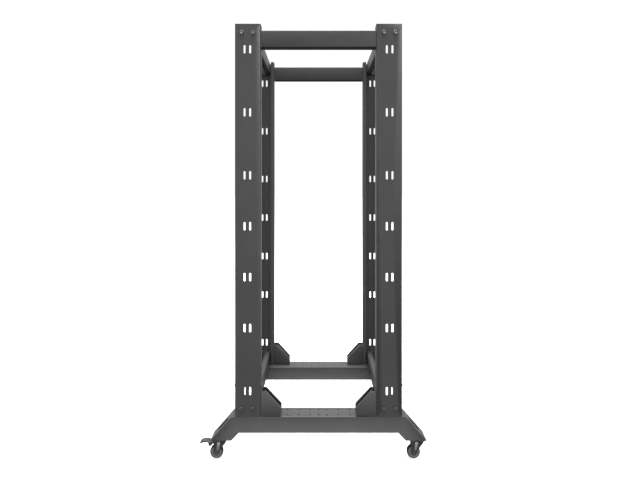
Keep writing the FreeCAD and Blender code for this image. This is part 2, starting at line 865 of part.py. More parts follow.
def make_hub(name, front, side, yaw):
    """The wheel's moulded centre: boss, web and rim, turned about the axle."""
    body = new_body(f"{name}_wheel_hub")
    at_caster(body, front, side, yaw, x=-size["caster_trail"], z=wheel_radius)
    bore = size["axle_dia"] / 2 + size["running_gap"]
    boss = size["hub_boss_dia"] / 2
    rim_out = rim_dia / 2
    rim_in = rim_out - size["rim_wall"]
    half_hub = fork_opening / 2 - size["hub_gap"]
    half_web = size["hub_web"] / 2
    half_rim = size["tyre_width"] / 2 - size["rim_inset"]
    upper = [(bore, half_hub), (boss, half_hub), (boss, half_web), (rim_in, half_web),
             (rim_in, half_rim), (rim_out, half_rim)]
    outline = upper + [(r, -y) for r, y in reversed(upper)]
    revolve(body, polygon(new_sketch(body, "XY"), outline))
    return body


def make_tyre(name, front, side, yaw):
    body = new_body(f"{name}_tyre")
    at_caster(body, front, side, yaw, x=-size["caster_trail"], z=wheel_radius)
    half = size["tyre_width"] / 2
    ring = revolve(body, rectangle(new_sketch(body, "XY"), (rim_dia / 2, -half), (wheel_radius, half)))

    def on_tread(edge):
        return all(abs(math.hypot(vertex.X, vertex.Z) - wheel_radius.number) < 0.01
                   for vertex in edge.Vertexes)
    fillet(body, ring, size["tyre_shoulder"], on_tread)
    return body


def make_axle(name, front, side, yaw):
    """The axle bolt, head on the fork's right leg, and the nut on its left leg."""
    length = fork_width + size["axle_nut"] + size["axle_tail"]
    axle = make_bolt(f"{name}_axle_bolt", size["axle_dia"], length, size["axle_flats"],
                     size["axle_head"])
    nut = make_nut(f"{name}_axle_nut", size["axle_dia"], size["axle_flats"], size["axle_nut"])
    for body, y in ((axle, -fork_width / 2), (nut, fork_width / 2)):
        at_caster(body, front, side, yaw, -size["caster_trail"], y, wheel_radius, facing(0, -1, 0))
    return [axle, nut]


def make_pedal_pin(name, front, side, yaw):
    body = new_body(f"{name}_pedal_pin")
    at_caster(body, front, side, yaw)
    section = new_sketch(body, "XZ")
    circle(section, -size["pedal_pin_back"], pedal_pin_z(), size["pedal_pin_dia"])
    pad(body, section, fork_width)
    return body


def make_pedal(name, front, side, yaw):
    """The brake pedal: a neck between the fork's legs, a wide foot plate, and the brake shoe."""
    pin_x = -size["pedal_pin_back"]
    pin_z = pedal_pin_z()
    under = pin_z - size["pedal_neck_drop"]
    top = plate_under - size["plate_bolt_head"] - size["pedal_bolt_gap"]
    depth = top - under
    root = -size["caster_trail"] - size["axle_boss_dia"] / 2 - size["pedal_root_gap"]
    turn = math.radians(SIZES["shoe_angle"])
    shoe_reach = wheel_radius + size["shoe_gap"]
    shoe_front = -size["caster_trail"] - shoe_reach * math.cos(turn)
    shoe_low = wheel_radius + shoe_reach * math.sin(turn)
    shoe_back = shoe_front - size["shoe_length"]
    tip = shoe_back - size["pedal_plate_length"]
    neck_top = pin_z + size["pedal_pin_dia"] * 1.1
    body = new_body(f"{name}_brake_pedal")
    at_caster(body, front, side, yaw)
    plate = [
        (root, under), (root, top - depth * 0.2), (shoe_back + depth * 0.2, top),
        (tip + depth, top), (tip + depth * 0.45, top - depth * 0.25), (tip, under + depth * 0.2),
        (tip, under), (shoe_back, under), (shoe_back, shoe_low), (shoe_front, shoe_low),
        (shoe_front + depth * 0.1, under),
    ]
    pad(body, polygon(new_sketch(body, "XZ"), plate), size["pedal_width"])
    neck = [(root - depth * 0.2, under), (pin_x + size["pedal_pin_dia"] * 1.25, under),
            (pin_x + size["pedal_pin_dia"] * 1.25, neck_top), (root - depth * 0.2, top - depth * 0.2)]
    pad(body, polygon(new_sketch(body, "XZ"), neck), fork_opening - 2 * size["pedal_side_gap"])
    bore = size["pedal_pin_dia"] + 2 * size["running_gap"]
    pocket(body, circle(new_sketch(body, "XZ"), pin_x, pin_z, bore))
    return body


def make_swivel_parts():
    """The kingpins that hold the forks, and the balls they turn on."""
    pin = new_body("kingpin")
    head_under = crown_under - size["swivel_gap"] - size["kingpin_head"]
    head = circle(new_sketch(pin, "XY", head_under), 0, 0, size["kingpin_head_dia"])
    pad(pin, head, size["kingpin_head"], towards=1)
    shank = circle(new_sketch(pin, "XY", head_under), 0, 0, size["kingpin_dia"])
    pad(pin, shank, caster_height - head_under, towards=1)
    ball = doc.addObject("Part::Sphere", "swivel_ball")
    ball.setExpression("Radius", (size["ball_dia"] / 2).expression)
    pins = []
    balls = []
    for _, front, side in CORNERS:
        x = caster_x * front
        y = beam_centre * side
        pins.append((x, y, 0, None))
        for index in range(SIZES["ball_count"]):
            turn = 2 * math.pi * index / SIZES["ball_count"]
            balls.append((x + size["ball_circle"] / 2 * math.cos(turn),
                          y + size["ball_circle"] / 2 * math.sin(turn),
                          plate_under - size["ball_dia"] / 2, None))
    return [group("caster_kingpins", pin, pins), group("caster_balls", ball, balls)]


def make_caster(name, front, side):
    yaw = CASTER_YAW[name]
    parts = [make_caster_plate(name, front, side)]
    makers = [make_fork, make_hub, make_tyre]
    if name in BRAKED:
        makers += [make_pedal_pin, make_pedal]
    parts += [maker(name, front, side, yaw) for maker in makers]
    return parts + make_axle(name, front, side, yaw)


# ---------------------------------------------------------------- the whole rack

def make_rack():
    parts = []
    for name, side in (("right", -1), ("left", 1)):
        parts.append(make_base_beam(name, side))
        parts.append(make_side_bar(name, side))
    for name, front in (("front", -1), ("rear", 1)):
        parts.append(make_cross_bar(f"{name}_bottom_cross_bar", front, -1))
        parts.append(make_cross_bar(f"{name}_top_cross_bar", front, 1))
    for name, front, side in CORNERS:
        parts.append(make_post(name, front, side))
        parts.append(make_gusset(name, front, side))
        parts += make_caster(name, front, side)
    return parts + make_swivel_parts() + make_fasteners()


def check(parts):
    """Stop if a feature failed, a cut removed nothing, or a shape isn't sound."""
    for entry in doc.Objects:
        if "Invalid" in entry.State or "Error" in entry.State:
            raise RuntimeError(f"{entry.Name} failed: {entry.State}")
        if entry.TypeId == "PartDesign::Pocket":
            if entry.Shape.Volume > entry.BaseFeature.Shape.Volume - 0.1:
                raise RuntimeError(f"{entry.Name} cuts nothing")
    for part in parts:
        if part.Shape.isNull() or not part.Shape.isValid():
            raise RuntimeError(f"{part.Label} has no sound shape")
        if part.TypeId == "PartDesign::Body" and len(part.Shape.Solids) != 1:
            raise RuntimeError(f"{part.Label} is in {len(part.Shape.Solids)} pieces")


def export(parts):
    os.makedirs("parts", exist_ok=True)
    for part in parts:
        part.Shape.exportStep(f"parts/{part.Label}.step")


rack = make_rack()
doc.recompute()
check(rack)
export(rack)
print(f"{len(rack)} sub-parts written")
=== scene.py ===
import json
import math

import bmesh
import bpy
from mathutils import Matrix, Vector

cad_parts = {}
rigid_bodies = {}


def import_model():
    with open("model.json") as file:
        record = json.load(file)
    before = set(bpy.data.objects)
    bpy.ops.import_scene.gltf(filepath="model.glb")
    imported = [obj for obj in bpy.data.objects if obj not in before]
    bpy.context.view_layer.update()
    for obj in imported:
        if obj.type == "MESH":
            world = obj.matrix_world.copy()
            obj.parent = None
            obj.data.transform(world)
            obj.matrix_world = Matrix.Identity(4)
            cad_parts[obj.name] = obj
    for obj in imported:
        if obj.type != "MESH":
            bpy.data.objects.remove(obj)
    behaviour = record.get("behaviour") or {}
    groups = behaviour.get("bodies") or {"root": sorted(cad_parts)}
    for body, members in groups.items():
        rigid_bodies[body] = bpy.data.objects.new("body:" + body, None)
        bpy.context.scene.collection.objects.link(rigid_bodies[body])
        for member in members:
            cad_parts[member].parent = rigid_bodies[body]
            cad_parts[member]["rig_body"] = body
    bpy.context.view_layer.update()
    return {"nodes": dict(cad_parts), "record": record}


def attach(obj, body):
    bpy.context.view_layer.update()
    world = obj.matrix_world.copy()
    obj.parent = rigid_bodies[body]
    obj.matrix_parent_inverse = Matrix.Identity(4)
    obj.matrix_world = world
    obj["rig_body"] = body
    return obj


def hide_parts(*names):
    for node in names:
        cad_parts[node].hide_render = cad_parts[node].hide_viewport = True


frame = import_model()
nodes = frame["nodes"]
scene = bpy.context.scene
scene.view_settings.view_transform = "Standard"

CORNERS = {"front_right": (-1, -1), "rear_right": (1, -1), "front_left": (-1, 1), "rear_left": (1, 1)}


# ---------------------------------------------------------------- materials
class Nodes:
    """A material's node tree, with short ways to add and join nodes."""

    def __init__(self, name):
        self.material = bpy.data.materials.new(name)
        self.material.use_nodes = True
        self.tree = self.material.node_tree
        self.shader = self.tree.nodes["Principled BSDF"]

    def add(self, kind, inputs=None, **settings):
        node = self.tree.nodes.new(kind)
        for key, value in settings.items():
            setattr(node, key, value)
        for key, value in (inputs or {}).items():
            if isinstance(value, bpy.types.NodeSocket):
                self.tree.links.new(value, node.inputs[key])
            else:
                node.inputs[key].default_value = value
        return node

    def place(self):
        if not hasattr(self, "where"):
            self.where = self.add("ShaderNodeTexCoord").outputs["Object"]
        return self.where

    def noise(self, scale, detail=2.0, rough=0.5, stretch=None):
        where = self.place()
        if stretch:
            where = self.add("ShaderNodeMapping", {"Vector": where, "Scale": stretch}).outputs[0]
        sizes = {"Vector": where, "Scale": scale, "Detail": detail, "Roughness": rough}
        return self.add("ShaderNodeTexNoise", sizes).outputs["Fac"]

    def spread(self, value, low, high, out_low=0.0, out_high=1.0):
        sizes = {"Value": value, "From Min": low, "From Max": high, "To Min": out_low, "To Max": out_high}
        return self.add("ShaderNodeMapRange", sizes).outputs[0]

    def mix(self, share, first, second):
        node = self.add("ShaderNodeMix", data_type="RGBA")
        for socket, value in zip((node.inputs[0], node.inputs[6], node.inputs[7]), (share, first, second)):
            if isinstance(value, bpy.types.NodeSocket):
                self.tree.links.new(value, socket)
            else:
                socket.default_value = value
        return node.outputs[2]

    def sum(self, first, second, operation="ADD"):
        return self.add("ShaderNodeMath", {0: first, 1: second}, operation=operation).outputs[0]

    def edges(self, radius):
        """How near a point is to a sharp edge, from 0 to 1."""
        soft = self.add("ShaderNodeBevel", {"Radius": radius}, samples=4).outputs[0]
        true = self.add("ShaderNodeNewGeometry").outputs["Normal"]
        same = self.add("ShaderNodeVectorMath", {0: soft, 1: true}, operation="DOT_PRODUCT").outputs["Value"]
        return self.spread(same, 0.995, 0.85)

    def bump(self, height, strength, distance, below=None):
        sizes = {"Height": height, "Strength": strength, "Distance": distance}
        if below is not None:
            sizes["Normal"] = below
        return self.add("ShaderNodeBump", sizes).outputs[0]

    def finish(self, **sockets):
        for key, value in sockets.items():
            name = key.replace("_", " ")
            if isinstance(value, bpy.types.NodeSocket):
                self.tree.links.new(value, self.shader.inputs[name])
            else:
                self.shader.inputs[name].default_value = value
        return self.material


def grey(value, tint=0.0):
    return (value * (1 - tint), value, value * (1 + tint), 1)


def powder_coat():
    """Fine-textured charcoal powder coat: a sandy grain, slow tone changes and rubbed edges."""
    n = Nodes("powder_coat")
    cloud = n.spread(n.noise(7, 3), 0.3, 0.7)
    base = n.mix(cloud, grey(0.040, 0.02), grey(0.050, 0.02))
    grain = n.noise(1500, 3, 0.6)
    base = n.mix(n.spread(grain, 0.42, 0.68), base, grey(0.058, 0.02))
    rubbed = n.sum(n.edges(0.0012), n.spread(n.noise(60, 4), 0.45, 0.62), "MULTIPLY")
    base = n.mix(rubbed, base, grey(0.11, 0.01))
    rough = n.spread(n.noise(24, 3), 0.25, 0.75, 0.44, 0.56)
    fine = n.bump(grain, 0.35, 0.00012)
    slow = n.bump(n.noise(260, 2), 0.20, 0.0002, fine)
    return n.finish(Base_Color=base, Roughness=rough, Normal=slow)


def black_zinc():
    """Black zinc plate: dark and glossy, with duller patches and a painted highlight on every corner and
    edge.
    """
    n = Nodes("black_zinc")
    patch = n.spread(n.noise(160, 3), 0.35, 0.65)
    base = n.mix(patch, grey(0.10, 0.02), grey(0.17, 0.01))
    # painted highlight: every sharp edge of the bolts, nuts and washers is made bright, standing in for
    # glints on the chamfers
    base = n.mix(n.edges(0.0006), base, grey(0.62, 0.01))
    rough = n.spread(n.noise(300, 2), 0.3, 0.7, 0.20, 0.34)
    normal = n.bump(n.noise(2400, 2), 0.12, 0.0001)
    return n.finish(Base_Color=base, Metallic=1.0, Roughness=rough, Normal=normal)


def pressed_steel(name, low, high, edge):
    """Dull plated pressed steel, with drawing marks and rubbed edges."""
    n = Nodes(name)
    patch = n.spread(n.noise(70, 4), 0.3, 0.7)
    base = n.mix(patch, grey(low, 0.015), grey(high, 0.01))
    base = n.mix(n.edges(0.0008), base, grey(edge, 0.01))
    drawn = n.noise(500, 2, 0.5, (1, 1, 0.12))
    rough = n.spread(drawn, 0.3, 0.7, 0.34, 0.52)
    return n.finish(Base_Color=base, Metallic=1.0, Roughness=rough, Normal=n.bump(drawn, 0.15, 0.0001))


def moulded(name, tone, grain_scale, rough_low, rough_high):
    """Moulded plastic: a fine grain, soft tone changes and paler handling on the edges."""
    n = Nodes(name)
    base = n.mix(n.spread(n.noise(40, 3), 0.3, 0.7), grey(tone * 0.85), grey(tone * 1.15))
    base = n.mix(n.edges(0.0008), base, grey(tone * 1.7))
    grain = n.noise(grain_scale, 2)
    rough = n.spread(n.noise(90, 2), 0.3, 0.7, rough_low, rough_high)
    return n.finish(Base_Color=base, Roughness=rough, Normal=n.bump(grain, 0.25, 0.00012))


def rubber():
    """Dull grey-black rubber with a dusty, scuffed tread."""
    n = Nodes("tyre_rubber")
    base = n.mix(n.spread(n.noise(55, 4), 0.35, 0.7), grey(0.020), grey(0.034))
    base = n.mix(n.spread(n.noise(420, 3), 0.58, 0.75), base, grey(0.07))
    rough = n.spread(n.noise(130, 2), 0.3, 0.7, 0.62, 0.82)
    return n.finish(Base_Color=base, Roughness=rough, Normal=n.bump(n.noise(1900, 3), 0.3, 0.00015))


LOOKS = {
    "frame_paint": powder_coat(),
    "zinc_fasteners": black_zinc(),
    "caster_steel": pressed_steel("caster_steel", 0.10, 0.16, 0.30),
    # painted shade: the fork's copy of the steel is darker than caster_steel, standing in for the shade on
    # the fork legs
    "fork_finish": pressed_steel("fork_finish", 0.07, 0.11, 0.26),
    # painted highlight: the rib's copy of the steel is pale, a bright band painted down each fork leg
    "rib_painted_highlight": pressed_steel("rib_painted_highlight", 0.42, 0.52, 0.60),
    "wheel_plastic": moulded("wheel_plastic", 0.22, 1400, 0.38, 0.50),
    "tyre_rubber": rubber(),
    "pedal_plastic": moulded("pedal_plastic", 0.045, 1800, 0.42, 0.56),
}
for node in nodes.values():
    for held in node.material_slots:
        held.material = LOOKS[held.material.name.split(".")[0]]


# ---------------------------------------------------------------- mesh helpers
def new_piece(name, bm, slot, body, smooth_angle=32, look=None):
    """A shown piece from a bmesh, with its look, its body and its material slot."""
    mesh = bpy.data.meshes.new(name)
    bmesh.ops.recalc_face_normals(bm, faces=bm.faces)
    bm.to_mesh(mesh)
    bm.free()
    mesh.materials.append(LOOKS[look or slot])
    mesh.shade_smooth()
    mesh.set_sharp_from_angle(angle=math.radians(smooth_angle))
    piece = bpy.data.objects.new(name, mesh)
    scene.collection.objects.link(piece)
    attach(piece, body)
    return piece


def cad_bmesh(name):
    """A CAD node's mesh with its seams joined and its flat faces merged."""
    bm = bmesh.new()
    bm.from_mesh(nodes[name].data)
    bmesh.ops.remove_doubles(bm, verts=bm.verts, dist=1e-6)
    bmesh.ops.dissolve_limit(bm, angle_limit=math.radians(0.4), verts=bm.verts, edges=bm.edges)
    return bm


CUT_FACE = 0.004


def face_width(face):
    """Roughly how wide a face is: the sheet's thickness on a cut edge, far more on a plate."""
    return 2 * face.calc_area() / face.calc_perimeter()


def sharp_edges(bm, wanted):
    found = []
    for edge in bm.edges:
        if len(edge.link_faces) == 2 and edge.calc_face_angle() > math.radians(30) and wanted(edge):
            found.append(edge)
    return found


def is_fold(edge):
    return all(face_width(face) > CUT_FACE for face in edge.link_faces)


def round_off(bm, edges, offset, segments):
    if edges:
        bmesh.ops.bevel(bm, geom=edges, offset=offset, offset_type="OFFSET", segments=segments,
                        profile=0.5, affect="EDGES", clamp_overlap=True, loop_slide=False)


def folded_sheet(name, outer, inner, burr):
    """Stands for a sheet-metal CAD node: rounded folds outside and inside, and softened cut edges."""
    bm = cad_bmesh(name)
    round_off(bm, sharp_edges(bm, lambda e: e.is_convex and is_fold(e)), outer, 4)
    round_off(bm, sharp_edges(bm, lambda e: not e.is_convex and is_fold(e)), inner, 2)
    round_off(bm, sharp_edges(bm, lambda e: e.calc_length() > 0.0015), burr, 1)
    piece = new_piece(name + "_sheet", bm, "frame_paint", nodes[name]["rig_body"])
    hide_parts(name)


def islands(bm):
    """The separate solids of a mesh, each as a list of its points."""
    left = set(bm.verts)
    while left:
        start = left.pop()
        shell = [start]
        queue = [start]
        while queue:
            for edge in queue.pop().link_edges:
                for vert in edge.verts:
                    if vert in left:
                        left.remove(vert)
                        shell.append(vert)
                        queue.append(vert)
        yield [vert.co.copy() for vert in shell]


def lathe(bm, matrix, rings, count, close_start=True, close_end=True):
    """Rings of points joined into a skin. A ring is (radius or radius by angle, height)."""
    rows = []
    for radius, height in rings:
        row = []
        for step in range(count):
            angle = math.tau * step / count
            reach = radius(angle) if callable(radius) else radius
            rise = height(angle) if callable(height) else height
            point = Vector((reach * math.cos(angle), reach * math.sin(angle), rise))
            row.append(bm.verts.new(matrix @ point))
        rows.append(row)
    for low, high in zip(rows, rows[1:]):
        for step in range(count):
            after = (step + 1) % count
            bm.faces.new((low[step], low[after], high[after], high[step]))
    if close_start:
        bm.faces.new(rows[0])
    if close_end:
        bm.faces.new(rows[-1])
    return rows


def turned_ring(bm, matrix, profile, count):
    """A ring turned from a closed profile of (radius, height) points."""
    rows = lathe(bm, matrix, profile, count, False, False)
    first = rows[0]
    last = rows[-1]
    for step in range(count):
        after = (step + 1) % count
        bm.faces.new((last[step], last[after], first[after], first[step]))


HEX_STEPS = 48
SHANK_STEPS = 20
WASHER_STEPS = 40
CHAMFER_RING = 0.96
CHAMFER_SLOPE = 0.58


def hex_reach(flats):
    """A hexagon's reach by angle, with a corner at angle 0."""
    def reach(angle):
        return flats / 2 / math.cos((angle % (math.pi / 3)) - math.pi / 6)
    return reach


def chamfer_height(flats, top, slope):
    """The height of a hexagon's side by angle, where a cone has turned its corners off."""
    reach = hex_reach(flats)
    return lambda angle: top - (reach(angle) - flats / 2 * CHAMFER_RING) * slope


def hex_head(bm, matrix, flats, height):
    """A bolt head above z = 0 with turned-off corners and a shallow dish in its top."""
    reach = hex_reach(flats)
    ring = flats / 2 * CHAMFER_RING
    dish = height - flats * 0.03
    lathe(bm, matrix, [
        (ring, 0), (reach, lambda a: (reach(a) - ring) * 0.5),
        (reach, chamfer_height(flats, height, CHAMFER_SLOPE)),
        (ring, height), (ring * 0.72, height), (ring * 0.62, dish), (ring * 0.1, dish),
    ], HEX_STEPS)


def threaded_shank(bm, matrix, diameter, length, pitch):
    """A shank below z = 0: plain near the head, then thread ridges and a pointed end."""
    radius = diameter / 2
    rings = [(radius, 0), (radius, -length * 0.35)]
    depth = length * 0.35
    while depth + pitch < length - pitch:
        rings += [(radius * 0.86, -depth - pitch * 0.5), (radius, -depth - pitch)]
        depth += pitch
    rings += [(radius * 0.84, -length)]
    lathe(bm, matrix, rings, SHANK_STEPS)


def hex_nut(bm, matrix, flats, height, bore):
    """A nut between z = -height and 0, both faces turned off, with a countersunk bore."""
    reach = hex_reach(flats)
    ring = flats / 2 * CHAMFER_RING
    thread = bore / 2 * 0.97
    mouth = bore / 2 * 1.12
    sink = 0.0006
    turned_ring(bm, matrix, [
        (thread, -sink), (mouth, 0), (ring, 0),
        (reach, lambda a: -(reach(a) - ring) * CHAMFER_SLOPE),
        (reach, lambda a: -height + (reach(a) - ring) * CHAMFER_SLOPE),
        (ring, -height), (mouth, -height), (thread, -height + sink),
    ], HEX_STEPS)


def flat_washer(bm, matrix, outside, bore, height):
    """A punched washer on z = 0: one rolled edge, one sharp."""
    rim = outside / 2
    hole = bore / 2
    turned_ring(bm, matrix, [
        (hole, 0), (rim, 0), (rim, height * 0.55), (rim - height * 0.35, height),
        (hole + height * 0.2, height), (hole, height * 0.8),
    ], WASHER_STEPS)


def fastener_frame(points):
    """A fastener's axis frame from its CAD points: z along the axis, towards the wider end, x to a corner."""
    low = Vector([min(p[i] for p in points) for i in range(3)])
    high = Vector([max(p[i] for p in points) for i in range(3)])
    size = high - low
    centre = (low + high) / 2
    spans = sorted(range(3), key=lambda i: size[i])
    lone = spans[2] if size[spans[2]] > size[spans[1]] * 1.2 else spans[0]
    axis = Vector([1.0 if i == lone else 0.0 for i in range(3)])

    def width_at(end):
        near = [p for p in points if abs(p[lone] - end[lone]) < 1e-5]
        return max((p - centre - axis * (p - centre).dot(axis)).length for p in near)

    if width_at(low) > width_at(high) * 1.2:
        axis = -axis
    across = [i for i in range(3) if i != lone]
    corner = max(across, key=lambda i: size[i])
    x_axis = Vector([1.0 if i == corner else 0.0 for i in range(3)])
    y_axis = axis.cross(x_axis)
    turn = Matrix((x_axis, y_axis, axis)).transposed().to_4x4()
    return centre, axis, turn, size[lone]


def fasteners(name, kind):
    """Stands for a CAD group of bolts, nuts or washers: kind(bm, frame, length) builds one of them."""
    source = bmesh.new()
    source.from_mesh(nodes[name].data)
    bmesh.ops.remove_doubles(source, verts=source.verts, dist=1e-6)
    bm = bmesh.new()
    for points in islands(source):
        centre, axis, turn, length = fastener_frame(points)
        kind(bm, Matrix.Translation(centre + axis * (length / 2)) @ turn, length)
    source.free()
    piece = new_piece(name + "_turned", bm, "zinc_fasteners", "frame")
    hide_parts(name)


def bolt_kind(diameter, flats, head, pitch):
    def build(bm, frame_matrix, length):
        under_head = frame_matrix @ Matrix.Translation((0, 0, -head))
        hex_head(bm, under_head, flats, head)
        threaded_shank(bm, under_head, diameter, length - head, pitch)
    return build


def nut_kind(flats, bore):
    return lambda bm, frame_matrix, length: hex_nut(bm, frame_matrix, flats, length, bore)


def washer_kind(outside, bore):
    def build(bm, frame_matrix, length):
        flat_washer(bm, frame_matrix @ Matrix.Translation((0, 0, -length)), outside, bore, length)
    return build


# ---------------------------------------------------------------- frame pieces
# each sheet's outer fold, inner fold and burred edge, in metres
BEAM_FOLDS = (0.0028, 0.0006, 0.0003)
BAR_FOLDS = (0.0024, 0.0006, 0.0003)
GUSSET_FOLDS = (0.0028, 0.0008, 0.0004)
POST_FOLDS = (0.0001, 0.0001, 0.0002)
for name in ("right_base_beam", "left_base_beam"):
    folded_sheet(name, *BEAM_FOLDS)
for name in ("front_bottom_cross_bar", "front_top_cross_bar", "rear_bottom_cross_bar", "rear_top_cross_bar",
             "right_side_bar", "left_side_bar"):
    folded_sheet(name, *BAR_FOLDS)
for corner in CORNERS:
    folded_sheet(corner + "_gusset", *GUSSET_FOLDS)
    folded_sheet(corner + "_post", *POST_FOLDS)

FRAME_BOLT = bolt_kind(diameter=0.008, flats=0.013, head=0.0053, pitch=0.00125)
PLATE_BOLT = bolt_kind(diameter=0.005, flats=0.008, head=0.0035, pitch=0.0008)
FRAME_NUT = nut_kind(flats=0.013, bore=0.008)
PLATE_NUT = nut_kind(flats=0.008, bore=0.005)
FRAME_WASHER = washer_kind(outside=0.016, bore=0.008)
for name in ("cross_bar_bolts", "side_bar_bolts", "gusset_bolts", "seat_bolts"):
    fasteners(name, FRAME_BOLT)
fasteners("caster_plate_bolts", PLATE_BOLT)
for name in ("gusset_nuts", "seat_nuts"):
    fasteners(name, FRAME_NUT)
fasteners("caster_plate_nuts", PLATE_NUT)
fasteners("cross_bar_washers", FRAME_WASHER)

# ---------------------------------------------------------------- casters
JOINTS = {joint["name"]: Vector(joint["pos_m"]) for joint in frame["record"]["behaviour"]["joints"]}
BRAKED = [corner for corner in CORNERS if corner + "_brake_press" in JOINTS]
WHEEL_RADIUS = JOINTS["front_right_wheel_spin"].z
TRAIL = (JOINTS["front_right_caster_swivel"] - JOINTS["front_right_wheel_spin"]).xy.length


def caster_frame(corner):
    """A caster's own frame: origin on the floor under its kingpin, wheel towards -x, axle along y."""
    pivot = JOINTS[corner + "_caster_swivel"]
    ahead = pivot - JOINTS[corner + "_wheel_spin"]
    turn = Matrix.Rotation(math.atan2(ahead.y, ahead.x), 4, "Z")
    return Matrix.Translation((pivot.x, pivot.y, 0)) @ turn


def axle_frame(corner, along=0.0):
    """On the axle's line, at a place along it, with z pointing out of the fork's right leg."""
    place = Matrix.Translation((-TRAIL, along, WHEEL_RADIUS))
    return caster_frame(corner) @ place @ Matrix.Rotation(math.radians(90), 4, "X")


def loft(bm, matrix, rows):
    """A skin through closed rows of points, each with the same count, capped at both ends."""
    made = [[bm.verts.new(matrix @ Vector(point)) for point in row] for row in rows]
    for low, high in zip(made, made[1:]):
        count = len(low)
        for step in range(count):
            after = (step + 1) % count
            bm.faces.new((low[step], low[after], high[after], high[step]))
    bm.faces.new(made[0])
    bm.faces.new(made[-1])


def mirrored(profile):
    """A profile's half for height above 0, followed by its mirror image back to the start."""
    return profile + [(radius, -height) for radius, height in reversed(profile)]


# the fork, in its caster's frame
FORK_TOP = 0.0727
FORK_SHEET = 0.0025
FORK_HALF_WIDTH = 0.014
FORK_BEND = 0.0045
HEAD_FRONT = 0.025
HEAD_BACK = -0.023
FRONT_SHOULDER = 0.068
BACK_SHOULDER = 0.062
BOSS_RADIUS = 0.008
RELIEF = 0.0011
ACROSS = [step / 12 for step in range(-12, 13)]


def eased(share, blend=0.12):
    """A ramp from 0 to 1 whose start is rounded."""
    if share <= 0:
        return 0.0
    rounded = share * share / (2 * blend) if share < blend else share - blend / 2
    return rounded / (1 - blend / 2)


def leg_edges(height):
    """The back and front edges of a fork leg at a height."""
    front_share = eased((FRONT_SHOULDER - height) / (FRONT_SHOULDER - WHEEL_RADIUS))
    back_share = eased((BACK_SHOULDER - height) / (BACK_SHOULDER - WHEEL_RADIUS))
    front = HEAD_FRONT + (-TRAIL + BOSS_RADIUS - HEAD_FRONT) * front_share
    back = HEAD_BACK + (-TRAIL - BOSS_RADIUS - HEAD_BACK) * back_share
    return back, front


def fork_sheet(bm, matrix):
    """One pressed sheet: leg, crown and leg, with a raised border round each leg's outer face."""
    stations = []
    for step in range(8, 0, -1):
        angle = math.radians(11.2 * step)
        half = BOSS_RADIUS * math.cos(angle)
        height = WHEEL_RADIUS - BOSS_RADIUS * math.sin(angle)
        stations.append((0.0, height, -TRAIL - half, -TRAIL + half, 0.0))
    bend_foot = FORK_TOP - FORK_BEND
    for step in range(17):
        height = WHEEL_RADIUS + (bend_foot - WHEEL_RADIUS) * step / 16
        stations.append((0.0, height, *leg_edges(height), 1.0 if 2 < step < 15 else 0.0))
    for step in range(1, 5):
        stations.append((math.radians(22.5 * step), bend_foot, HEAD_BACK, HEAD_FRONT, 0.0))

    def row(station, side, inner):
        turn, height, back, front, pressed = station
        radius = FORK_BEND - (FORK_SHEET if inner else 0)
        y = FORK_HALF_WIDTH - FORK_BEND + radius * math.cos(turn)
        z = height + radius * math.sin(turn)
        points = []
        for place in ACROSS:
            hollow = RELIEF * pressed * (1.0 if abs(place) < 0.8 else 0.0)
            points.append(((back + front) / 2 + (front - back) / 2 * place, side * (y - hollow), z))
        return points

    loops = []
    for side, order in ((-1, stations), (1, stations[::-1])):
        for station in order:
            loops.append(row(station, side, False) + row(station, side, True)[::-1])
    loft(bm, matrix, loops)


def fork_rib(bm, matrix, side):
    """A pressed rib that runs down a leg from the crown to the axle."""
    low = FORK_HALF_WIDTH - RELIEF - 0.0003
    high = FORK_HALF_WIDTH + 0.0002
    rows = []
    for step in range(13):
        share = step / 12
        height = 0.0675 - 0.0325 * share
        middle = -0.002 - 0.005 * share
        half = 0.0060 - 0.0012 * share
        fade = min(1.0, 3 * share, 3 * (1 - share)) if share not in (0, 1) else 0.0
        top = low + (high - low) * max(fade, 0.25)
        section = [
            (middle - half, low), (middle - half * 0.85, top), (middle - half * 0.4, top + 0.0001),
            (middle + half * 0.4, top + 0.0001), (middle + half * 0.85, top), (middle + half, low),
        ]
        rows.append([(x, side * y, height) for x, y in section])
    loft(bm, matrix, rows)


def fork(corner):
    body = corner + "_swivel"
    matrix = caster_frame(corner)
    bm = bmesh.new()
    fork_sheet(bm, matrix)
    # the fork sheet takes the darker copy of the steel, painted shade on its legs
    piece = new_piece(corner + "_pressed_fork", bm, "caster_steel", body, 40, "fork_finish")
    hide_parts(corner + "_caster_fork")
    bm = bmesh.new()
    for side in (-1, 1):
        fork_rib(bm, matrix, side)
    # the ribs take the pale copy of the steel, a painted highlight band down each leg
    new_piece(corner + "_fork_ribs", bm, "caster_steel", body, 40, "rib_painted_highlight")


AXLE_FLATS = 0.010
AXLE_DIAMETER = 0.006
AXLE_HEAD = 0.004
AXLE_LENGTH = 0.0345
AXLE_PITCH = 0.001
AXLE_NUT = 0.005


def axle(corner):
    """Stands for the axle bolt and its nut."""
    body = corner + "_swivel"
    bm = bmesh.new()
    under_head = axle_frame(corner, -FORK_HALF_WIDTH)
    hex_head(bm, under_head, AXLE_FLATS, AXLE_HEAD)
    threaded_shank(bm, under_head, AXLE_DIAMETER, AXLE_LENGTH, AXLE_PITCH)
    piece = new_piece(corner + "_axle_bolt_turned", bm, "zinc_fasteners", body)
    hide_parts(corner + "_axle_bolt")
    bm = bmesh.new()
    hex_nut(bm, axle_frame(corner, FORK_HALF_WIDTH), AXLE_FLATS, AXLE_NUT, AXLE_DIAMETER)
    piece = new_piece(corner + "_axle_nut_turned", bm, "zinc_fasteners", body)
    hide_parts(corner + "_axle_nut")


